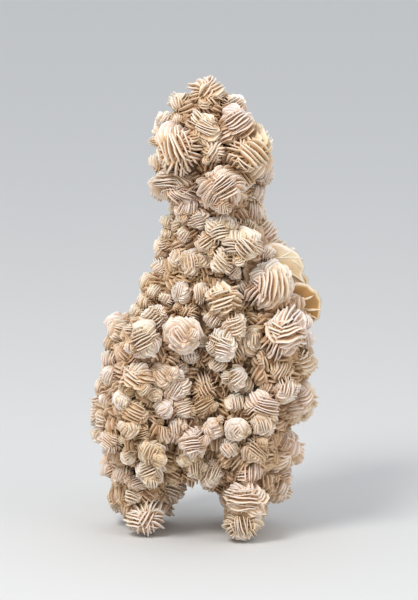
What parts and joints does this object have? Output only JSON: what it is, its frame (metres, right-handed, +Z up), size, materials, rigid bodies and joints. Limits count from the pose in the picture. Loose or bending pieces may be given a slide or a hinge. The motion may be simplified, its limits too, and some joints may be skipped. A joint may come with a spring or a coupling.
{
  "type": "gypsum sand rose",
  "caption": "Tall upright cluster of intergrown gypsum rosettes with thin flat-edged blades, standing on two lobed feet.",
  "frame": {"origin": "middle of the cluster's box on the surface that the feet rest on", "axes": "+Z up, +X to the right as seen from the front, the front with the neck rosette faces -Y"},
  "size_m": [0.1978, 0.1507, 0.4014],
  "materials": {
    "gypsum": "matte sandy crystal with pale blade rims and brown gaps"
  },
  "bodies": {
    "root": {"sand_rose": "gypsum"}
  },
  "joints": []
}
